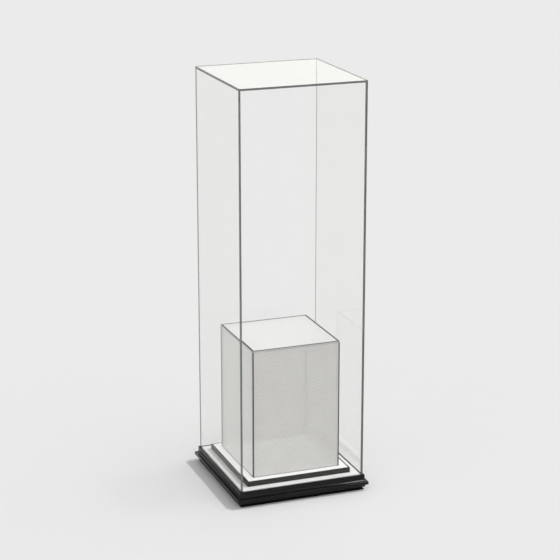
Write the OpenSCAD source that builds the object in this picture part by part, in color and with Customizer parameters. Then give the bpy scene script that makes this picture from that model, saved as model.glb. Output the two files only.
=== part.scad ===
// Tall clear display cover on a moulded base, with a stepped platform and a loose
// riser cube inside. +Z is up, the front faces -Y, and the origin is on the floor
// under the middle of the base.

/* [Clear cover] */
// Outside width of the cover, left to right
cover_w = 400; // [320:5:600]
// Outside depth of the cover, front to back
cover_d = 400; // [320:5:600]
// Height of the cover that shows above the deck
cover_h = 1240; // [700:10:1500]
// Thickness of the cover's sheet
cover_sheet = 6; // [4:0.5:10]
// Depth that the cover drops into its groove
cover_drop = 8; // [5:0.5:10]
// Room between the cover's walls and each side of the groove
groove_gap = 1; // [0.6:0.1:2]
// Thickness of the soft strip under the cover's walls
seat_strip_t = 1.5; // [1:0.5:3]

/* [Riser cube] */
// Height of the riser cube above the platform
riser_h = 410; // [150:10:500]
// Thickness of the riser's sheet
riser_sheet = 4; // [3:0.5:6]
// Platform left showing round the riser
riser_margin = 27; // [10:1:40]

/* [Platform] */
// Deck left showing between the platform and the inside of the cover
platform_margin = 25; // [10:1:40]
// Thickness of the platform board
platform_t = 16; // [12:1:25]
// Thickness of the dark strips round the platform's edge
edging_t = 5; // [2:0.5:8]

/* [Deck] */
// Thickness of the deck panel
deck_t = 12; // [9:1:18]
// Room between the deck's edge and the step in the frame
deck_gap = 0.3; // [0.2:0.1:1]

/* [Moulding] */
// Thickness of the moulding's upright rim
rim_t = 4; // [3:0.5:8]
// Height of the flat fascia at the top of the moulding
fascia_h = 14; // [12:1:24]
// Bevel along the fascia's top edge
rim_bevel = 0.8; // [0.3:0.1:1.5]
// Radius of the hollow between the fascia and the lip
cove_r = 7; // [4:0.5:12]
// How far the lip stands out past the hollow
lip_out = 2.5; // [1:0.5:6]
// Height of the lip
lip_h = 10; // [6:1:16]
// Radius of the lip's rounded edges
nose_r = 1.5; // [0.5:0.5:2.5]
// Radius of both curves of the S under the lip
ogee_r = 5; // [3:0.5:6]
// Flat at the foot of the moulding, behind the S
ogee_flat = 0.5; // [0.5:0.5:3]
// Upright step between the lip and the S
fillet_h = 1; // [0.5:0.5:3]

/* [Frame] */
// Width of the frame rails under the cover's walls
rail_w = 33; // [24:1:50]
// Leg of the three-cornered glue blocks
block_leg = 45; // [25:1:70]
// Width of the bearers under the deck
bearer_w = 40; // [25:1:60]

/* [Bottom board and feet] */
// Thickness of the bottom board
board_t = 7; // [6:0.5:12]
// How far the board's top edge sits inside the cover's outside
board_in = 2.5; // [1:0.5:5]
// How far the board's lower edge stands out past the cover's outside
board_out = 3.5; // [1:0.5:5]
// Height of the upright band at the board's lower edge
board_nose = 1.5; // [1:0.5:3]
// Radius of a rubber foot
foot_r = 9.5; // [6:0.5:12]
// Thickness of a rubber foot
foot_t = 3; // [2:0.5:5]
// How far the feet stand out below the board
foot_proud = 1; // [0.5:0.5:2]
// From the board's lower edge to a foot's middle
foot_inset = 33; // [20:1:60]

/* [Screws] */
// Radius of the screws' shanks
screw_r = 2; // [1.5:0.25:2.5]
// Radius of the screws' countersunk heads
head_r = 4; // [3:0.25:5]
// Height of the screws' heads
head_h = 2.2; // [1.5:0.1:3]
// Room round a shank in the hole that it passes through
through_gap = 0.3; // [0.1:0.1:0.6]
// Room round a shank in the hole that it grips
pilot_gap = 0.05; // [0.02:0.01:0.1]
// Thickness left over the tip of a screw
tip_cover = 2.5; // [1.5:0.5:4]
// Length of the screws through the bottom board
board_screw_l = 25; // [18:1:30]
// From the platform's edge to a platform screw
platform_screw_inset = 55; // [45:1:70]

/* [Hidden] */
$fn = 64;
eps = 0.01;

black = "#242424";
charcoal = "#343434";
board_brown = "#a58a68";
softwood = "#d9bf94";
felt_grey = "#6c6c6c";
off_white = "#e6e6e4";
white = "#f8f8f6";
steel = "#b9bcc0";
clear = [0.86, 0.92, 0.9, 0.25];
frosted = [0.78, 0.78, 0.76, 0.75];

// Heights above the floor
board_z = foot_proud;
rail_z = board_z + board_t;
lip_z = rail_z + 2 * ogee_r + fillet_h;
cove_z = lip_z + lip_h;
fascia_z = cove_z + cove_r;
deck_z = fascia_z + fascia_h;
ledge_z = deck_z - deck_t;
groove_z = deck_z - cover_drop - seat_strip_t;
cover_z = deck_z - cover_drop;
riser_z = deck_z + platform_t;

// Half sizes of what stacks up in plan
cover_half = [cover_w / 2, cover_d / 2];
deck_half = cover_half - [1, 1] * (cover_sheet + groove_gap);
frame_half = cover_half + [1, 1] * groove_gap;
inner_half = frame_half - [1, 1] * rail_w;
platform_half = cover_half - [1, 1] * (cover_sheet + platform_margin);
riser_half = platform_half - [1, 1] * riser_margin;
board_half = cover_half + [1, 1] * board_out;

// How far the moulding's steps stand out past the groove's outer wall
rim_face = rim_t;
cove_face = rim_face + cove_r;
lip_face = cove_face + lip_out;

// Width of the rail's upper land, from the groove's outer wall to its step
land_w = cover_sheet + 2 * groove_gap - deck_gap;

rail_mid = inner_half + [1, 1] * rail_w / 2;
bearer_y = inner_half[1] / 3;
foot_at = board_half - [1, 1] * foot_inset;
platform_screw_at = platform_half - [1, 1] * platform_screw_inset;
deck_screw_x = inner_half[0] - bearer_w;

// ---- shared shapes ----

// Slab from lo to hi, given as half sizes about the middle, between two heights
module slab(half, z, h) {
    translate([-half[0], -half[1], z])
        cube([2 * half[0], 2 * half[1], h]);
}

// A stick along X with mitred ends. Its section lies to -Y of the line at
// y = -half[1], and its outline is (outwards, upwards).
module mitred_stick(half, depth, spread) {
    reach = half[0] + spread;
    intersection() {
        translate([-reach, -half[1], 0])
            rotate([90, 0, 90])
                linear_extrude(2 * reach)
                    mirror([1, 0])
                        children();
        mitre_wedge(half, depth, spread);
    }
}

// The ground that a front stick may cover, between its two 45 degree mitres
module mitre_wedge(half, depth, spread) {
    linear_extrude(deck_z + platform_t + 1)
        polygon([
            [-half[0] - spread, -half[1] - spread],
            [half[0] + spread, -half[1] - spread],
            [half[0] - depth, -half[1] + depth],
            [-half[0] + depth, -half[1] + depth]
        ]);
}

// Puts a front stick on one of the four sides
module on_side(side) {
    turn = side == "front" ? 0 : side == "right" ? 90 : side == "rear" ? 180 : 270;
    rotate([0, 0, turn])
        children();
}

// Half sizes as a stick on that side sees them
function along(half, side) =
    (side == "front" || side == "rear") ? half : [half[1], half[0]];

// Countersunk screw pointing up, with its head's flat face at the origin
module screw(length) {
    rotate_extrude()
        polygon([
            [0, 0], [head_r, 0], [screw_r, head_h],
            [screw_r, length - screw_r], [0, length]
        ]);
}

// Hole that a screw's head and shank pass through
module through_hole(depth) {
    rotate_extrude()
        polygon([
            [0, -eps], [head_r + through_gap, -eps], [head_r + through_gap, 0],
            [screw_r + through_gap, head_h], [screw_r + through_gap, depth + eps],
            [0, depth + eps]
        ]);
}

// Hole that a screw's shank grips
module pilot_hole(depth) {
    cylinder(r = screw_r + pilot_gap, h = depth);
}

module at_corners(at) {
    for (x = [-1, 1])
        for (y = [-1, 1])
            translate([x * at[0], y * at[1], 0])
                children();
}

// Two screws in each rail, each halfway from its middle to its end, as one side sees them
module rail_screw_places(side) {
    on_side(side)
        for (x = [-1, 1])
            translate([x * along(inner_half, side)[0] / 2, -along(rail_mid, side)[1], 0])
                children();
}

module all_rail_screw_places() {
    for (side = ["front", "right", "rear", "left"])
        rail_screw_places(side)
            children();
}

// Two screws up into each bearer from below
module bearer_screw_places() {
    at_corners([deck_screw_x / 2, bearer_y])
        children();
}

module deck_screw_places() {
    at_corners([deck_screw_x, bearer_y])
        children();
}

// ---- base ----

// Flat board whose edge slopes out from its top to an upright band at the bottom
module bottom_board() {
    color(black)
        difference() {
            intersection() {
                board_section(along(board_half, "front"));
                rotate([0, 0, 90])
                    board_section(along(board_half, "right"));
            }
            at_corners(foot_at)
                translate([0, 0, board_z - eps])
                    cylinder(r = foot_r + 0.5, h = foot_t - foot_proud + eps);
            all_rail_screw_places()
                translate([0, 0, board_z])
                    through_hole(board_t);
            bearer_screw_places()
                translate([0, 0, board_z])
                    through_hole(board_t);
        }
}

// The board's outline across X, run along Y
module board_section(half) {
    top = half[0] - board_out - board_in;
    translate([0, half[1], board_z])
        rotate([90, 0, 0])
            linear_extrude(2 * half[1])
                polygon([
                    [-half[0], 0], [half[0], 0], [half[0], board_nose],
                    [top, board_t], [-top, board_t], [-half[0], board_nose]
                ]);
}

module rubber_feet() {
    color(charcoal)
        at_corners(foot_at)
            cylinder(r = foot_r, h = foot_t);
}

module board_screws() {
    color(steel) {
        all_rail_screw_places()
            translate([0, 0, board_z])
                screw(board_screw_l);
        bearer_screw_places()
            translate([0, 0, board_z])
                screw(board_screw_l);
    }
}

// Rail with a ledge for the deck and a higher land that is the groove's floor
module frame_rail(side) {
    half = along(frame_half, side);
    color(board_brown)
        difference() {
            on_side(side)
                mitred_stick(half, rail_w, 0)
                    polygon([
                        [0, rail_z], [0, groove_z], [-land_w, groove_z],
                        [-land_w, ledge_z], [-rail_w, ledge_z], [-rail_w, rail_z]
                    ]);
            rail_screw_places(side)
                translate([0, 0, rail_z - eps])
                    pilot_hole(board_screw_l - board_t + 1);
        }
}

// Three-cornered block glued into a corner of the frame
module corner_block(x, y) {
    color(softwood)
        mirror([x < 0 ? 1 : 0, 0, 0])
            mirror([0, y < 0 ? 1 : 0, 0])
                translate([inner_half[0], inner_half[1], rail_z])
                    linear_extrude(ledge_z - rail_z)
                        polygon([[0, 0], [-block_leg, 0], [0, -block_leg]]);
}

// Bearer across the frame under the deck
module bearer(y) {
    color(softwood)
        difference() {
            translate([-inner_half[0], y * bearer_y - bearer_w / 2, rail_z])
                cube([2 * inner_half[0], bearer_w, ledge_z - rail_z]);
            bearer_screw_places()
                translate([0, 0, rail_z - eps])
                    pilot_hole(board_screw_l - board_t + 1);
            deck_screw_places()
                translate([0, 0, rail_z])
                    through_hole(ledge_z - rail_z);
        }
}

// Section of the moulding, outwards from the groove's outer wall: an S under a
// rounded lip, then a hollow and a flat fascia
module moulding_section() {
    difference() {
        union() {
            translate([0, cove_z])
                square([rim_face, deck_z - cove_z]);
            cove_section();
            lip_section();
            ogee_section();
        }
        translate([-2 * ogee_r, 0])
            square([2 * ogee_r, deck_z]);
        translate([rim_face, deck_z])
            rotate(45)
                square(rim_bevel * sqrt(2), center = true);
    }
}

// The hollow between the fascia and the lip
module cove_section() {
    difference() {
        translate([0, cove_z])
            square([cove_face, cove_r]);
        translate([cove_face, fascia_z])
            circle(r = cove_r);
    }
}

// The lip, with its two outer edges rounded
module lip_section() {
    translate([0, lip_z])
        square([lip_face - nose_r, lip_h]);
    translate([0, lip_z + nose_r])
        square([lip_face, lip_h - 2 * nose_r]);
    for (z = [nose_r, lip_h - nose_r])
        translate([lip_face - nose_r, lip_z + z])
            circle(r = nose_r);
}

// The S under the lip: a hollow above a quarter round
module ogee_section() {
    translate([0, rail_z])
        square([ogee_flat, lip_z - rail_z]);
    translate([ogee_flat, rail_z + ogee_r])
        circle(r = ogee_r);
    difference() {
        translate([0, rail_z + ogee_r])
            square([ogee_flat + 2 * ogee_r, ogee_r + fillet_h]);
        translate([ogee_flat + 2 * ogee_r, rail_z + ogee_r])
            circle(r = ogee_r);
    }
}

module moulding(side) {
    half = along(frame_half, side);
    color(black)
        on_side(side)
            mitred_stick(half, 0, lip_face + 1)
                moulding_section();
}

// Soft strip on the groove's floor. The front and rear strips run the full width.
module seat_strip(side) {
    full = side == "front" || side == "rear";
    half = along(frame_half, side);
    width = cover_sheet + groove_gap;
    reach = full ? half[0] - groove_gap / 2 : half[0] - groove_gap / 2 - width;
    color(felt_grey)
        on_side(side)
            translate([-reach, -half[1] + groove_gap / 2, groove_z])
                cube([2 * reach, width, seat_strip_t]);
}

module deck_panel() {
    color(off_white)
        difference() {
            slab(deck_half, ledge_z, deck_t);
            deck_screw_places()
                translate([0, 0, ledge_z - eps])
                    pilot_hole(deck_t - tip_cover + 1);
            at_corners(platform_screw_at)
                translate([0, 0, ledge_z])
                    through_hole(deck_t);
        }
}

module deck_screws() {
    color(steel)
        deck_screw_places()
            translate([0, 0, rail_z])
                screw(ledge_z - rail_z + deck_t - tip_cover);
}

// ---- platform ----

module platform_board() {
    color(white)
        difference() {
            slab(platform_half - [1, 1] * edging_t, deck_z, platform_t);
            at_corners(platform_screw_at)
                translate([0, 0, deck_z - eps])
                    pilot_hole(platform_t - tip_cover + 1);
        }
}

module platform_screws() {
    color(steel)
        at_corners(platform_screw_at)
            translate([0, 0, ledge_z])
                screw(deck_t + platform_t - tip_cover);
}

module platform_edging(side) {
    half = along(platform_half, side) - [1, 1] * edging_t;
    color(charcoal)
        on_side(side)
            mitred_stick(half, 0, edging_t)
                translate([0, deck_z])
                    square([edging_t, platform_t]);
}

// ---- boxes of sheet: the riser and the cover ----

// One wall of a five-sided box. The front and rear walls run the full width, and
// the left and right walls stand between them.
module box_wall(side, half, z, h, sheet) {
    full = side == "front" || side == "rear";
    turned = along(half, side);
    reach = full ? turned[0] : turned[0] - sheet;
    on_side(side)
        translate([-reach, -turned[1], z])
            cube([2 * reach, sheet, h]);
}

module riser_wall(side) {
    color(frosted)
        box_wall(side, riser_half, riser_z, riser_h - riser_sheet, riser_sheet);
}

module riser_top() {
    color(frosted)
        slab(riser_half, riser_z + riser_h - riser_sheet, riser_sheet);
}

module cover_wall(side) {
    color(clear)
        box_wall(side, cover_half, cover_z, cover_drop + cover_h - cover_sheet, cover_sheet);
}

module cover_top() {
    color(clear)
        slab(cover_half, deck_z + cover_h - cover_sheet, cover_sheet);
}

bottom_board();
rubber_feet();
board_screws();
frame_rail("front");  // frame_rail_front
frame_rail("rear");  // frame_rail_rear
frame_rail("left");  // frame_rail_left
frame_rail("right");  // frame_rail_right
corner_block(-1, -1);  // corner_block_front_left
corner_block(1, -1);  // corner_block_front_right
corner_block(-1, 1);  // corner_block_rear_left
corner_block(1, 1);  // corner_block_rear_right
bearer(-1);  // bearer_front
bearer(1);  // bearer_rear
moulding("front");  // moulding_front
moulding("rear");  // moulding_rear
moulding("left");  // moulding_left
moulding("right");  // moulding_right
seat_strip("front");  // seat_strip_front
seat_strip("rear");  // seat_strip_rear
seat_strip("left");  // seat_strip_left
seat_strip("right");  // seat_strip_right
deck_panel();
deck_screws();
platform_board();
platform_screws();
platform_edging("front");  // platform_edging_front
platform_edging("rear");  // platform_edging_rear
platform_edging("left");  // platform_edging_left
platform_edging("right");  // platform_edging_right
riser_wall("front");  // riser_front
riser_wall("rear");  // riser_rear
riser_wall("left");  // riser_left
riser_wall("right");  // riser_right
riser_top();
cover_wall("front");  // cover_front
cover_wall("rear");  // cover_rear
cover_wall("left");  // cover_left
cover_wall("right");  // cover_right
cover_top();
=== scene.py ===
"""Looks of the tall clear display cover, its riser cube and its moulded base.

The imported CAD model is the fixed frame. The clear cover, the riser, the soft strips
and the screws are rebuilt here as finished pieces. Everything else keeps its CAD
shape, with its arrises taken off, and gets its material here.
"""
import math

import bmesh
import bpy
from mathutils import Matrix, Vector, noise


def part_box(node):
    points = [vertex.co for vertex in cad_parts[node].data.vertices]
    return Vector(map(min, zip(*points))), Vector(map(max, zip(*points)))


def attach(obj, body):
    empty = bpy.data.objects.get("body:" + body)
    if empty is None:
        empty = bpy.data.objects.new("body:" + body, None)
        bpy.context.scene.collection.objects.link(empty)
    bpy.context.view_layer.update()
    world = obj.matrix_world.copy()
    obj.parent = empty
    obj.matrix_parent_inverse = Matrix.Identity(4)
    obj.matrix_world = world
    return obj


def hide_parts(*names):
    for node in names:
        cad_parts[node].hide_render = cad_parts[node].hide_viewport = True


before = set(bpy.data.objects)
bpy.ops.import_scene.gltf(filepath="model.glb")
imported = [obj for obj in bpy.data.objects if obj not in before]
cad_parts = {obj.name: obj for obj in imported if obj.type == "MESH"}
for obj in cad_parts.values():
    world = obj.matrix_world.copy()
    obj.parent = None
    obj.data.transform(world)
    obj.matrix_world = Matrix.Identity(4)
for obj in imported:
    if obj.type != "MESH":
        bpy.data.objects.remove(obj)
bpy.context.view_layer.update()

MM = 0.001
SIDES = ("front", "rear", "left", "right")

# Acrylic
ACRYLIC_IOR = 1.49
MIRROR_SHARE = 0.5          # an anti-reflective sheet mirrors half of what a plain one does
MIRROR_TINT = (0.87, 0.87, 0.81, 1)    # and its coating tints that
ARRIS = 0.35 * MM           # taken off each edge of a sheet
ARRIS_SEGMENTS = 2          # faces across an arris, here and on the CAD pieces
BROAD_FACE = 0.99           # least cosine from a broad face's normal to its sheet's thin axis
BOND_GAP = 0.05 * MM        # glue line between two sheets
GLUE_LINE = 3.6 * MM        # glue line that shows where a wall ends behind a riser sheet
TOP_GLUE_LINE = 6.0 * MM    # the one round the riser's top, which is squeezed out wider
END_LINE = 2.5 * MM         # the one at the ends of its left and right walls
PAINTED_FOOT_SHADE = 1.5 * MM        # painted shade line along the foot of its front and rear walls, where they stand on the platform
PAINTED_SIDE_FOOT_SHADE = 2.5 * MM   # and of its left and right walls
PATTERN_TILE = 44 * MM      # width of one scale in the riser's pattern
PATTERN_RINGS = 3           # rings in each scale
PATTERN_CLOUD = 0.18        # share of a slow cloud in the pattern
MILK_GLOW = 0.1             # share of the riser's milk that is lit from behind
WALL_OPEN = 0.44            # share of the riser's walls that is clear
TOP_OPEN = 0.2              # and of its top
WALL_LAMP_SHARE = 0.983     # share of a lamp's light that passes each face of its walls
TOP_LAMP_SHARE = 0.965      # and of its top
EDGE_LAMP_SHARE = 0.99      # and each polished edge and glue line

# Screws
SCREW_SEGMENTS = 16
HEAD_HEIGHT = 2.2 * MM
THREAD_OUTER = 2.0 * MM
THREAD_CORE = 1.4 * MM
THREAD_PITCH = 1.8 * MM
RINGS_PER_TURN = 4          # rings of vertices in each turn of the thread
THREAD_STEEPNESS = 3        # how fast the thread falls from its crest to its core
RIM_INSET = 0.3 * MM        # the head's lower rim stands in by this
LAND_HEIGHT = 0.15 * MM     # and this far below its widest
CROSS_ARM = 2.2 * MM        # from the recess's middle to the end of an arm
CROSS_HALF_WIDTH = 0.22     # half an arm's width, as a share of its length
CROSS_TAPER = 0.55          # the recess's floor, as a share of its mouth
CROSS_DEPTH = 1.3 * MM

# Felt strips
FELT_STEP = 4 * MM          # between cuts along a strip
FELT_ARRIS = 0.3 * MM
FELT_SAG = 0.12 * MM        # the most that its top sinks
FELT_LUMP = 9 * MM          # size of its lumps

# CAD pieces
WELD = 0.005 * MM           # vertices nearer than this are one
DISSOLVE_ANGLE = 0.5        # degrees between faces that are joined into one
BEVEL_ANGLE = 35            # degrees between faces whose edge is taken off

# Camera, from the middle of the base
CAMERA_AZIMUTH = -20.60
CAMERA_ELEVATION = 16.645
CAMERA_DISTANCE = 5.667
CAMERA_AIM = (0.0003, 0.0, 0.6459)
CAMERA_LENS = 118.21
SENSOR_WIDTH = 36.0
CLIP_START = 0.1
CLIP_END = 500

# Studio
KEY_DIRECTION = (0.65, -0.036, 0.759)
KEY_STRENGTH = 1.42
KEY_ANGLE = 4.5
SKY_GLOWS = ((0.0, 0.84), (0.15, 1.08), (0.5, 0.98), (1.0, 0.62))    # (height, glow), horizon to zenith
HORIZON_BLEND = 0.1         # height over which the two below set in
RIGHT_GLOW = 0.5            # how much brighter the surround is to the right
REAR_SHADE = 0.7            # how much darker it is behind
SOFTBOX_DIRECTION = (0.337, 0.897, 0.286)
SOFTBOXES = ((0.78, 0.93, 0.99), (0.46, 0.9962, 0.9997))    # (glow, cosines where it fades out and in)
FLOOR_SIZE = 120.0
FLOOR_TONE = 0.714
FLOOR_CLOUD = 0.002         # how far its tone wanders
BOUNCES = 20
CLEAR_BOUNCES = 48          # for rays that pass straight through


# ---- building materials ----

class Shader:
    """The node tree of a material or a world, with short calls that add a node and join it up."""

    def __init__(self, owner, place="Object"):
        owner.use_nodes = True
        self.owner = owner
        self.tree = owner.node_tree
        self.tree.nodes.clear()
        self.place = self.node("TexCoord").outputs[place]

    def node(self, kind, inputs=None, **settings):
        """Adds a node. inputs gives each socket a value or another node's output."""
        made = self.tree.nodes.new("ShaderNode" + kind)
        for key, value in settings.items():
            setattr(made, key, value)
        for socket, value in (inputs or {}).items():
            if isinstance(value, bpy.types.NodeSocket):
                self.tree.links.new(value, made.inputs[socket])
            else:
                made.inputs[socket].default_value = value
        return made

    def math(self, operation, *values):
        return self.node("Math", dict(enumerate(values)), operation=operation).outputs[0]

    def noise(self, size, detail=3.0, rough=0.5, stretch=(1.0, 1.0, 1.0)):
        """Noise from 0 to 1 with features about size metres across, longer where stretch is over 1."""
        scale = tuple(1 / s for s in stretch)
        where = self.node("Mapping", {"Vector": self.place, "Scale": scale}).outputs[0]
        inputs = {"Vector": where, "Scale": 1 / size, "Detail": detail, "Roughness": rough}
        return self.node("TexNoise", inputs).outputs["Fac"]

    def between(self, value, low, high, start=0.3, end=0.7):
        """Carries start..end over to low..high, and holds what lies outside."""
        inputs = {"Value": value, "From Min": start, "From Max": end, "To Min": low, "To Max": high}
        return self.node("MapRange", inputs).outputs[0]

    def tone(self, value, dark, light):
        """A colour between dark and light."""
        inputs = {0: value, 6: (*dark, 1.0), 7: (*light, 1.0)}
        return self.node("Mix", inputs, data_type="RGBA").outputs[2]

    def bump(self, height, depth):
        return self.node("Bump", {"Height": height, "Distance": depth}).outputs[0]

    def principled(self, inputs):
        return self.node("BsdfPrincipled", inputs).outputs[0]

    def mix(self, share, first, second):
        """Mixes two shaders: share of the second."""
        return self.node("MixShader", {0: share, 1: first, 2: second}).outputs[0]

    def lamp_rays(self):
        """1 for a ray that gathers light for a surface, and 0 for what the camera sees."""
        path = self.node("LightPath").outputs
        return self.math("MAXIMUM", path["Is Shadow Ray"], path["Is Diffuse Ray"])

    def pass_lamps(self, surface, share):
        """Lets that share of a lamp's light straight through a surface."""
        through = self.node("BsdfTransparent", {"Color": (share, share, share, 1)}).outputs[0]
        path = self.node("LightPath").outputs
        return self.mix(path["Is Shadow Ray"], surface, through)

    def done(self, surface, output="OutputMaterial"):
        self.node(output, {"Surface": surface})
        return self.owner


def new_shader(name):
    return Shader(bpy.data.materials.new(name))


def clear_acrylic():
    """Clear sheet. Lamps shine straight through it, and the camera sees it bend and mirror."""
    s = new_shader("clear_acrylic")
    glass = {"Color": (0.997, 0.998, 0.997, 1), "Roughness": 0.0, "IOR": ACRYLIC_IOR}
    bend = s.node("BsdfRefraction", glass)
    shine = s.node("BsdfGlossy", {"Color": MIRROR_TINT, "Roughness": 0.0})
    fresnel = s.node("Fresnel", {"IOR": ACRYLIC_IOR}).outputs[0]
    sheet = s.mix(s.math("MULTIPLY", fresnel, MIRROR_SHARE), bend.outputs[0], shine.outputs[0])
    dust = s.node("BsdfDiffuse", {"Color": (0.86, 0.87, 0.86, 1)}).outputs[0]
    dusty = s.between(s.noise(90 * MM, 6.0, 0.62), 0.0, 0.008, 0.45, 0.75)
    sheet = s.mix(dusty, sheet, dust)
    through = s.node("BsdfTransparent", {"Color": (0.995, 0.998, 0.996, 1)}).outputs[0]
    return s.done(s.mix(s.lamp_rays(), sheet, through))


def acrylic_edge(name, dark, light, open_share):
    """Polished edge of a sheet, smoky grey, with faint lines left by the polishing."""
    s = new_shader(name)
    lines = s.noise(3 * MM, 4.0, 0.6, stretch=(1.0, 1.0, 6.0))
    inputs = {
        "Base Color": s.tone(s.between(lines, 0.0, 1.0), dark, light),
        "Roughness": s.between(lines, 0.14, 0.24),
        "Normal": s.bump(lines, 0.02 * MM),
    }
    clear = s.node("BsdfTransparent", {"Color": (0.95, 0.97, 0.96, 1)}).outputs[0]
    edge = s.mix(open_share, s.principled(inputs), clear)
    return s.done(s.pass_lamps(edge, EDGE_LAMP_SHARE))


def glue_and_foot_shade():
    """Dark glue seen through a sheet, with a few paler bubbles. The same material paints the shade along
    the foot of the riser's walls.
    """
    s = new_shader("riser_glue_and_painted_foot_shade")
    bubbles = s.noise(2 * MM, 3.0, 0.6)
    inputs = {
        "Base Color": s.tone(s.between(bubbles, 0.0, 1.0), (0.022, 0.023, 0.022), (0.04, 0.042, 0.04)),
        "Roughness": s.between(bubbles, 0.4, 0.55),
        "Specular IOR Level": 0.08,
    }
    return s.done(s.pass_lamps(s.principled(inputs), EDGE_LAMP_SHARE))


def scale_rings(s, across, up):
    """Rings of overlapping scales, from 0 to 1, along two axes of the object.

    Each row of circles stands half a radius above the last and half a tile along,
    and the lower row lies on top.
    """
    axes = s.node("SeparateXYZ", {"Vector": s.place}).outputs
    along = s.math("DIVIDE", axes[across], PATTERN_TILE)
    rows = s.math("DIVIDE", axes[up], PATTERN_TILE / 4)
    row = s.math("FLOOR", rows)
    reach = None
    for step in (-1.0, 0.0, 1.0):
        its_row = s.math("ADD", row, step)
        shift = s.math("MULTIPLY", s.math("FLOORED_MODULO", its_row, 2.0), 0.5)
        dx = s.math("SUBTRACT", s.math("FRACT", s.math("ADD", along, shift)), 0.5)
        dy = s.math("DIVIDE", s.math("SUBTRACT", rows, its_row), 4.0)
        square = s.math("MULTIPLY_ADD", dx, dx, s.math("MULTIPLY", dy, dy))
        far = s.math("MULTIPLY", s.math("SQRT", square), 2.0)
        if reach is None:
            reach = far
            continue
        inside = s.math("LESS_THAN", reach, 1.0)
        keep = s.math("MULTIPLY", reach, inside)
        reach = s.math("ADD", keep, s.math("MULTIPLY", far, s.math("SUBTRACT", 1.0, inside)))
    turns = s.math("MULTIPLY", reach, 2 * math.pi * PATTERN_RINGS)
    return s.math("MULTIPLY_ADD", s.math("COSINE", turns), 0.5, 0.5)


def patterned_acrylic(name, across, up, dark, light, open_share, lamp_share):
    """Milky sheet with a faint scale pattern, which glows when it is lit from behind. Its dark and light
    tones are given per face, and paint how much light that face gets.
    """
    s = new_shader(name)
    rings = scale_rings(s, across, up)
    cloud = s.between(s.noise(60 * MM, 4.0, 0.55), 0.0, 1.0)
    mixed = s.math("MULTIPLY_ADD", cloud, PATTERN_CLOUD, s.math("MULTIPLY", rings, 1 - PATTERN_CLOUD))
    colour = s.tone(mixed, dark, light)
    normal = s.bump(rings, 0.03 * MM)
    inputs = {
        "Base Color": colour,
        "Roughness": s.between(cloud, 0.28, 0.36, 0.0, 1.0),
        "Specular IOR Level": 0.3,
        "Normal": normal,
    }
    glow = s.node("BsdfTranslucent", {"Color": colour, "Normal": normal}).outputs[0]
    milk = s.mix(MILK_GLOW, s.principled(inputs), glow)
    clear = s.node("BsdfTransparent", {"Color": (1, 1, 1, 1)}).outputs[0]
    return s.done(s.pass_lamps(s.mix(open_share, milk, clear), lamp_share))


def black_lacquer():
    """Satin black lacquer, with its orange peel, duller and paler in places."""
    s = new_shader("black_lacquer")
    wear = s.noise(14 * MM, 6.0, 0.6)
    peel = s.noise(1.4 * MM, 2.0, 0.5)
    inputs = {
        "Base Color": s.tone(s.between(wear, 0.0, 1.0), (0.003, 0.003, 0.0031), (0.0055, 0.0055, 0.0057)),
        "Roughness": s.between(wear, 0.17, 0.27),
        "IOR": 1.30,
        "Normal": s.bump(peel, 0.006 * MM),
    }
    return s.done(s.principled(inputs))


def laminate(name, dark, light, rough):
    """Laminate with a fine pebbled face."""
    s = new_shader(name)
    pebbles = s.noise(0.9 * MM, 2.0, 0.5)
    cloud = s.noise(70 * MM, 4.0, 0.55)
    inputs = {
        "Base Color": s.tone(s.between(cloud, 0.0, 1.0), dark, light),
        "Roughness": s.between(cloud, rough, rough + 0.1),
        "Specular IOR Level": 0.4,
        "Normal": s.bump(pebbles, 0.012 * MM),
    }
    return s.done(s.principled(inputs))


def dark_edging():
    """Charcoal edging strip, with a grain drawn along it."""
    s = new_shader("dark_edging")
    grain = s.noise(1.2 * MM, 4.0, 0.6, stretch=(14.0, 14.0, 1.0))
    inputs = {
        "Base Color": s.tone(s.between(grain, 0.0, 1.0), (0.009, 0.009, 0.0095), (0.0125, 0.0125, 0.013)),
        "Roughness": s.between(grain, 0.42, 0.56),
        "Specular IOR Level": 0.12,
        "Normal": s.bump(grain, 0.008 * MM),
    }
    return s.done(s.principled(inputs))


def fibreboard():
    """Sawn fibreboard: fine fibres in two browns, with a matt, slightly furry face."""
    s = new_shader("fibreboard")
    fibres = s.noise(1.1 * MM, 5.0, 0.7)
    cloud = s.noise(25 * MM, 3.0, 0.5)
    mixed = s.math("MULTIPLY_ADD", cloud, 0.4, s.math("MULTIPLY", fibres, 0.6))
    browns = s.between(mixed, 0.0, 1.0, 0.35, 0.65)
    inputs = {
        "Base Color": s.tone(browns, (0.30, 0.20, 0.115), (0.47, 0.345, 0.215)),
        "Roughness": s.between(fibres, 0.78, 0.92),
        "Specular IOR Level": 0.2,
        "Normal": s.bump(fibres, 0.08 * MM),
    }
    return s.done(s.principled(inputs))


def softwood():
    """Planed softwood, with its rings running along X and a few pores."""
    s = new_shader("softwood")
    warp = s.noise(40 * MM, 3.0, 0.5, stretch=(6.0, 1.0, 1.0))
    axes = s.node("SeparateXYZ", {"Vector": s.place}).outputs
    run = s.math("ADD", axes["Y"], s.math("MULTIPLY", axes["Z"], 0.35))
    count = s.math("MULTIPLY_ADD", warp, 9.0, s.math("DIVIDE", run, 5 * MM))
    rings = s.math("POWER", s.math("FRACT", count), 2.0)
    pores = s.noise(0.7 * MM, 3.0, 0.6, stretch=(18.0, 1.0, 1.0))
    mixed = s.math("MULTIPLY_ADD", rings, 0.7, s.math("MULTIPLY", pores, 0.3))
    pale = s.between(mixed, 1.0, 0.0, 0.05, 0.85)
    inputs = {
        "Base Color": s.tone(pale, (0.46, 0.27, 0.12), (0.72, 0.54, 0.32)),
        "Roughness": s.between(pores, 0.55, 0.72),
        "Specular IOR Level": 0.3,
        "Normal": s.bump(mixed, 0.05 * MM),
    }
    return s.done(s.principled(inputs))


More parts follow.
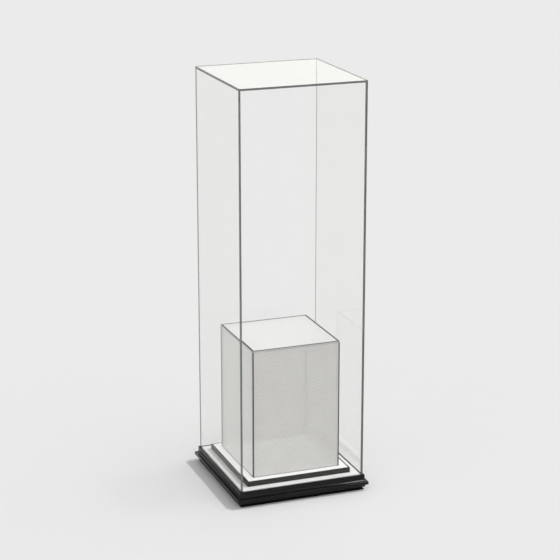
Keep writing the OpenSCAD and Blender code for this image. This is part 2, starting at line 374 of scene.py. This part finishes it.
def rubber():
    """Dull black rubber with a fine skin."""
    s = new_shader("rubber")
    skin = s.noise(1.5 * MM, 4.0, 0.6)
    inputs = {
        "Base Color": s.tone(s.between(skin, 0.0, 1.0), (0.012, 0.012, 0.012), (0.026, 0.026, 0.026)),
        "Roughness": s.between(skin, 0.72, 0.88),
        "Specular IOR Level": 0.3,
        "Normal": s.bump(skin, 0.05 * MM),
    }
    return s.done(s.principled(inputs))


def felt():
    """Grey felt: matted fibres that lie every way, with a soft sheen."""
    s = new_shader("felt")
    fibres = s.noise(0.8 * MM, 5.0, 0.75)
    tufts = s.noise(4 * MM, 3.0, 0.6)
    mixed = s.math("MULTIPLY_ADD", tufts, 0.35, s.math("MULTIPLY", fibres, 0.65))
    greys = s.between(mixed, 0.0, 1.0, 0.35, 0.65)
    inputs = {
        "Base Color": s.tone(greys, (0.085, 0.085, 0.088), (0.20, 0.20, 0.205)),
        "Roughness": 0.95,
        "Specular IOR Level": 0.1,
        "Sheen Weight": 0.4,
        "Sheen Roughness": 0.6,
        "Normal": s.bump(mixed, 0.25 * MM),
    }
    return s.done(s.principled(inputs))


def zinc_steel():
    """Zinc-plated steel, cloudy where the plating is thinner."""
    s = new_shader("zinc_steel")
    cloud = s.noise(3 * MM, 5.0, 0.6)
    inputs = {
        "Base Color": s.tone(s.between(cloud, 0.0, 1.0), (0.50, 0.51, 0.52), (0.68, 0.69, 0.70)),
        "Metallic": 1.0,
        "Roughness": s.between(cloud, 0.26, 0.42),
        "Normal": s.bump(cloud, 0.01 * MM),
    }
    return s.done(s.principled(inputs))


def studio_floor():
    """Plain pale floor, with a very faint cloud."""
    s = new_shader("studio_floor")
    cloud = s.noise(0.6, 2.0, 0.4)
    low = (FLOOR_TONE - FLOOR_CLOUD,) * 3
    high = (FLOOR_TONE + FLOOR_CLOUD,) * 3
    inputs = {
        "Base Color": s.tone(s.between(cloud, 0.0, 1.0), low, high),
        "Roughness": 0.9,
        "Specular IOR Level": 0.0,
    }
    return s.done(s.principled(inputs))


# ---- building pieces ----

def make_piece(name, bm, materials, body, replaced):
    """Turns a bmesh into a finished piece that rides on a body and stands for CAD nodes."""
    mesh = bpy.data.meshes.new(name)
    bm.normal_update()
    bm.to_mesh(mesh)
    bm.free()
    for material in materials:
        mesh.materials.append(material)
    piece = bpy.data.objects.new(name, mesh)
    bpy.context.scene.collection.objects.link(piece)
    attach(piece, body)
    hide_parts(*replaced)
    return piece


def block(lo, hi, arris):
    """A block from lo to hi with its arrises taken off, as a new bmesh."""
    bm = bmesh.new()
    bmesh.ops.create_cube(bm, size=1.0)
    middle = (lo + hi) / 2
    size = hi - lo
    for vert in bm.verts:
        vert.co = Vector(middle[i] + vert.co[i] * size[i] for i in range(3))
    shape = {"offset": arris, "segments": ARRIS_SEGMENTS, "profile": 0.5, "affect": "EDGES"}
    bmesh.ops.bevel(bm, geom=bm.edges[:], **shape)
    return bm


def cut_across(bm, axis, at):
    """Cuts every face that crosses the plane through at, square to an axis."""
    direction = Vector((0, 0, 0))
    direction[axis] = 1
    everything = bm.verts[:] + bm.edges[:] + bm.faces[:]
    bmesh.ops.bisect_plane(bm, geom=everything, plane_co=at, plane_no=direction)


def leave_bond_gaps(side, lo, hi):
    """Stops a sheet a glue line short of the sheets it butts against."""
    if side != "top":
        hi.z -= BOND_GAP
    if side in ("left", "right"):
        lo.y += BOND_GAP
        hi.y -= BOND_GAP


def sheet_piece(name, node, body, lo, hi, materials, bands=()):
    """A sheet of acrylic. materials are those of its faces, its polished edges, and its glue lines and
    painted foot shade.

    bands are the glue lines and painted shade lines along sides of its outer face, each as (axis, sign,
    width).
    """
    size = hi - lo
    thin = min(range(3), key=lambda axis: size[axis])
    bm = block(lo, hi, ARRIS)
    lines = []
    for axis, sign, width in bands:
        at = (hi if sign > 0 else lo).copy()
        at[axis] -= sign * width
        lines.append((axis, sign, at[axis]))
        cut_across(bm, axis, at)
    bm.normal_update()
    for polygon in bm.faces:
        if abs(polygon.normal[thin]) < BROAD_FACE:
            polygon.material_index = 1
            continue
        middle = polygon.calc_center_median()
        faces_out = polygon.normal[thin] * (lo + hi)[thin] > 0
        # slot 2 takes the glue lines and the painted foot shade
        if faces_out and any((middle[axis] - place) * sign > 0 for axis, sign, place in lines):
            polygon.material_index = 2
    return make_piece(name, bm, materials, body, [node])


def build_cover(clear, edge):
    """The five clear sheets. Front and rear run full width, and the top lies on all four."""
    for side in (*SIDES, "top"):
        lo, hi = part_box("cover_" + side)
        leave_bond_gaps(side, lo, hi)
        name = "clear_cover_" + side
        sheet_piece(name, "cover_" + side, "cover", lo, hi, (clear, edge))


def build_riser(faces, edges, glue):
    """The five milky sheets, joined as the cover's are, with their glue lines and a painted shade line
    along the foot of each wall.
    """
    # foot is a painted shade line where a wall stands on the platform, drawn in the glue's colour
    foot = (2, -1, PAINTED_FOOT_SHADE)
    ends = [(0, -1, GLUE_LINE), (0, 1, GLUE_LINE)]
    side_lines = [(1, -1, END_LINE), (1, 1, END_LINE), (2, -1, PAINTED_SIDE_FOOT_SHADE)]
    bands = {
        "front": [*ends, foot],
        "rear": [*ends, foot],
        "left": side_lines,
        "right": side_lines,
        "top": [(axis, sign, TOP_GLUE_LINE) for axis in (0, 1) for sign in (-1, 1)],
    }
    for side in (*SIDES, "top"):
        lo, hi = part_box("riser_" + side)
        leave_bond_gaps(side, lo, hi)
        # glue draws the glue lines and the painted foot shade
        materials = (faces[side], edges[side], glue)
        name = "riser_sheet_" + side
        sheet_piece(name, "riser_" + side, "riser", lo, hi, materials, bands[side])


def build_felt_strips(material):
    """Soft strips under the cover's walls, with a slightly uneven furry top."""
    for side in SIDES:
        lo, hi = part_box("seat_strip_" + side)
        bm = block(lo, hi, FELT_ARRIS)
        long_axis = 0 if side in ("front", "rear") else 1
        count = int((hi - lo)[long_axis] / FELT_STEP)
        for cut in range(1, count):
            cut_across(bm, long_axis, lo + (hi - lo) * cut / count)
        for vert in bm.verts:
            if vert.co.z > lo.z + 0.5 * (hi.z - lo.z):
                sag = 0.5 + 0.5 * noise.noise(vert.co / FELT_LUMP)
                vert.co.z -= FELT_SAG * sag
        piece = make_piece("felt_strip_" + side, bm, [material], "base", ["seat_strip_" + side])
        for polygon in piece.data.polygons:
            polygon.use_smooth = True


def lumps(node):
    """The separate lumps of a CAD node, each as (lowest corner, highest corner)."""
    bm = bmesh.new()
    bm.from_mesh(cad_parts[node].data)
    bmesh.ops.remove_doubles(bm, verts=bm.verts[:], dist=WELD)
    left = set(bm.verts)
    boxes = []
    while left:
        reached = [left.pop()]
        for vert in reached:
            for edge in vert.link_edges:
                other = edge.other_vert(vert)
                if other in left:
                    left.remove(other)
                    reached.append(other)
        lo = Vector(min(vert.co[i] for vert in reached) for i in range(3))
        hi = Vector(max(vert.co[i] for vert in reached) for i in range(3))
        boxes.append((lo, hi))
    bm.free()
    return sorted(boxes, key=lambda box: tuple(round(c, 6) for c in box[0]))


def add_ring(bm, middle, radii):
    """A ring of vertices round middle, one at each radius."""
    ring = []
    for step, radius in enumerate(radii):
        angle = 2 * math.pi * step / SCREW_SEGMENTS
        spoke = Vector((radius * math.cos(angle), radius * math.sin(angle), 0))
        ring.append(bm.verts.new(middle + spoke))
    return ring


def thread_radii(z):
    """The thread's radii all the way round, at height z above the head's foot."""
    run_in = min(1.0, (z - HEAD_HEIGHT) / THREAD_PITCH)
    radii = []
    for step in range(SCREW_SEGMENTS):
        angle = 2 * math.pi * step / SCREW_SEGMENTS
        part = (z / THREAD_PITCH - angle / (2 * math.pi)) % 1.0
        crest = max(0.0, 1 - abs(part - 0.5) * THREAD_STEEPNESS)
        radii.append(THREAD_CORE + (THREAD_OUTER - THREAD_CORE) * crest * run_in)
    return radii


def join_rings(bm, lower, upper):
    for step, vert in enumerate(lower):
        after = (step + 1) % len(lower)
        bm.faces.new((vert, lower[after], upper[after], upper[step]))


def add_cross(bm, middle, arm):
    """The twelve corners of a cross, as a ring."""
    half = arm * CROSS_HALF_WIDTH
    corner = ((arm, -half), (arm, half), (half, half))
    ring = []
    for quarter in range(4):
        turn = Matrix.Rotation(quarter * math.pi / 2, 3, "Z")
        for x, y in corner:
            ring.append(bm.verts.new(middle + turn @ Vector((x, y, 0))))
    return ring


def add_screw(bm, lo, hi):
    """A countersunk screw pointing up, with a cross recess below and a thread along its shank."""
    foot = Vector(((lo.x + hi.x) / 2, (lo.y + hi.y) / 2, lo.z))
    head = (hi.x - lo.x) / 2
    length = hi.z - lo.z
    rim = add_ring(bm, foot, [head - RIM_INSET] * SCREW_SEGMENTS)
    land = add_ring(bm, foot + Vector((0, 0, LAND_HEIGHT)), [head] * SCREW_SEGMENTS)
    join_rings(bm, rim, land)
    under = add_ring(bm, foot + Vector((0, 0, HEAD_HEIGHT)), [THREAD_CORE] * SCREW_SEGMENTS)
    join_rings(bm, land, under)
    last = under
    top = length - THREAD_OUTER
    count = int((top - HEAD_HEIGHT) / (THREAD_PITCH / RINGS_PER_TURN))
    for turn in range(1, count + 1):
        z = HEAD_HEIGHT + (top - HEAD_HEIGHT) * turn / count
        ring = add_ring(bm, foot + Vector((0, 0, z)), thread_radii(z))
        join_rings(bm, last, ring)
        last = ring
    tip = bm.verts.new(foot + Vector((0, 0, length)))
    for step, vert in enumerate(last):
        bm.faces.new((vert, last[(step + 1) % len(last)], tip))
    mouth = add_cross(bm, foot, CROSS_ARM)
    floor = add_cross(bm, foot + Vector((0, 0, CROSS_DEPTH)), CROSS_ARM * CROSS_TAPER)
    join_rings(bm, floor, mouth)
    bm.faces.new(floor)
    ends = []
    for ring in (rim, mouth):
        for step, vert in enumerate(ring):
            before = ring[step - 1]
            ends.append(bm.edges.get((before, vert)) or bm.edges.new((before, vert)))
    bmesh.ops.triangle_fill(bm, use_beauty=True, edges=ends)


def build_screws(node, body, material):
    """Rebuilds every screw of a CAD node, as one piece."""
    bm = bmesh.new()
    for lo, hi in lumps(node):
        add_screw(bm, lo, hi)
    bmesh.ops.recalc_face_normals(bm, faces=bm.faces[:])
    make_piece("cross_" + node, bm, [material], body, [node])


# ---- CAD pieces that keep their shape ----

def finish_cad_node(name, material, arris):
    """Gives a CAD node its material and takes its arrises off with modifiers."""
    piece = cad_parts[name]
    piece.data.materials.clear()
    piece.data.materials.append(material)
    weld = piece.modifiers.new("weld", "WELD")
    weld.merge_threshold = WELD
    flatten = piece.modifiers.new("flatten", "DECIMATE")
    flatten.decimate_type = "DISSOLVE"
    flatten.angle_limit = math.radians(DISSOLVE_ANGLE)
    bevel = piece.modifiers.new("arris", "BEVEL")
    bevel.width = arris
    bevel.segments = ARRIS_SEGMENTS
    bevel.limit_method = "ANGLE"
    bevel.angle_limit = math.radians(BEVEL_ANGLE)
    bevel.harden_normals = True
    bevel.miter_outer = "MITER_ARC"


def finish_cad_nodes(materials):
    """Finishes the nodes whose names start as a key does, with its (material, arris)."""
    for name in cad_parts:
        for start, (material, arris) in materials.items():
            if name.startswith(start):
                finish_cad_node(name, material, arris)


# ---- studio ----

def build_camera():
    """The camera at the photograph's viewing angle."""
    data = bpy.data.cameras.new("camera")
    data.lens = CAMERA_LENS
    data.sensor_width = SENSOR_WIDTH
    data.clip_start = CLIP_START
    data.clip_end = CLIP_END
    camera = bpy.data.objects.new("camera", data)
    azimuth = math.radians(CAMERA_AZIMUTH)
    elevation = math.radians(CAMERA_ELEVATION)
    back = Vector((
        math.sin(azimuth) * math.cos(elevation),
        -math.cos(azimuth) * math.cos(elevation),
        math.sin(elevation),
    ))
    camera.location = Vector(CAMERA_AIM) + back * CAMERA_DISTANCE
    camera.rotation_euler = (-back).to_track_quat("-Z", "Y").to_euler()
    bpy.context.scene.collection.objects.link(camera)
    bpy.context.scene.camera = camera


def build_floor():
    bm = bmesh.new()
    bmesh.ops.create_grid(bm, x_segments=2, y_segments=2, size=FLOOR_SIZE / 2)
    mesh = bpy.data.meshes.new("floor")
    bm.to_mesh(mesh)
    bm.free()
    mesh.materials.append(studio_floor())
    floor = bpy.data.objects.new("floor", mesh)
    bpy.context.scene.collection.objects.link(floor)


def build_key_light():
    data = bpy.data.lights.new("key", "SUN")
    data.energy = KEY_STRENGTH
    data.angle = math.radians(KEY_ANGLE)
    key = bpy.data.objects.new("key", data)
    key.rotation_euler = Vector(KEY_DIRECTION).to_track_quat("Z", "Y").to_euler()
    bpy.context.scene.collection.objects.link(key)


def build_world():
    """A soft white surround: level with the floor at the horizon, brightest to the right, and
    darkest behind, but for a soft box and its bright middle, which the cover's top mirrors."""
    world = bpy.data.worlds.new("studio")
    s = Shader(world, "Generated")
    axes = s.node("SeparateXYZ", {"Vector": s.place}).outputs
    ramp = s.node("ValToRGB", {"Fac": axes["Z"]})
    while len(ramp.color_ramp.elements) < len(SKY_GLOWS):
        ramp.color_ramp.elements.new(1.0)
    for element, (height, glow) in zip(ramp.color_ramp.elements, SKY_GLOWS):
        element.position = height
        element.color = (glow, glow, glow, 1)
    rise = s.between(axes["Z"], 0.0, 1.0, 0.0, HORIZON_BLEND)
    right = s.math("MULTIPLY", s.math("MAXIMUM", axes["X"], 0.0), RIGHT_GLOW)
    rear = s.math("MULTIPLY", s.math("MAXIMUM", axes["Y"], 0.0), -REAR_SHADE)
    sides = s.math("MULTIPLY_ADD", s.math("ADD", right, rear), rise, 1.0)
    towards = s.node("VectorMath", {0: s.place, 1: SOFTBOX_DIRECTION}, operation="DOT_PRODUCT")
    strength = sides
    for glow, fade_out, fade_in in SOFTBOXES:
        box = s.between(towards.outputs["Value"], 0.0, glow, fade_out, fade_in)
        strength = s.math("ADD", strength, box)
    background = s.node("Background", {"Color": ramp.outputs["Color"], "Strength": strength}).outputs[0]
    bpy.context.scene.world = s.done(background, "OutputWorld")


def set_view():
    """Plain colours, and enough bounces to see through eight faces of sheet."""
    scene = bpy.context.scene
    scene.view_settings.view_transform = "Standard"
    scene.cycles.max_bounces = BOUNCES
    scene.cycles.transmission_bounces = BOUNCES
    scene.cycles.transparent_max_bounces = CLEAR_BOUNCES


build_camera()
build_floor()
build_key_light()
build_world()
set_view()

lacquer = black_lacquer()
finish_cad_nodes({
    "bottom_board": (lacquer, 0.4 * MM),
    "moulding_": (lacquer, 0.4 * MM),
    "rubber_feet": (rubber(), 0.5 * MM),
    "frame_rail_": (fibreboard(), 0.3 * MM),
    "corner_block_": (softwood(), 0.6 * MM),
    "bearer_": (softwood(), 0.6 * MM),
    "deck_panel": (laminate("deck_laminate", (0.83, 0.83, 0.825), (0.87, 0.87, 0.865), 0.42), 0.3 * MM),
    "platform_board": (laminate("white_laminate", (0.90, 0.90, 0.89), (0.93, 0.93, 0.92), 0.40), 0.2 * MM),
    "platform_edging_": (dark_edging(), 0.3 * MM),
})
steel = zinc_steel()
for screw_node in ("board_screws", "deck_screws", "platform_screws"):
    build_screws(screw_node, "base", steel)

build_cover(clear_acrylic(), acrylic_edge("cover_edge", (0.13, 0.135, 0.13), (0.19, 0.196, 0.19), 0.12))
# Lit and shaded copies of one milky sheet: the tones paint how light falls on each face, lighter on the
# left, lighter still on the top, and darker on the front, rear and right
painted_shade_face_tones = (0.578, 0.567, 0.549), (0.703, 0.692, 0.674)
painted_lit_left_tones = (0.66, 0.657, 0.65), (0.81, 0.807, 0.80)
painted_lit_top_tones = (0.73, 0.728, 0.715), (0.81, 0.808, 0.795)
wall_shares = WALL_OPEN, WALL_LAMP_SHARE
across = patterned_acrylic("riser_pattern_across_painted_shade", 0, 2, *painted_shade_face_tones, *wall_shares)
left = patterned_acrylic("riser_pattern_left_painted_lit", 1, 2, *painted_lit_left_tones, *wall_shares)
right = patterned_acrylic("riser_pattern_right_painted_shade", 1, 2, *painted_shade_face_tones, *wall_shares)
level = patterned_acrylic("riser_pattern_level_painted_lit", 0, 1, *painted_lit_top_tones, TOP_OPEN, TOP_LAMP_SHARE)
wall_edge = acrylic_edge("riser_edge", (0.20, 0.204, 0.20), (0.26, 0.264, 0.26), 0.08)
top_edge = acrylic_edge("riser_top_edge", (0.38, 0.384, 0.38), (0.44, 0.444, 0.44), 0.08)
build_riser(
    {"front": across, "rear": across, "left": left, "right": right, "top": level},
    {"top": top_edge, **{side: wall_edge for side in SIDES}},
    glue_and_foot_shade(),
)
build_felt_strips(felt())
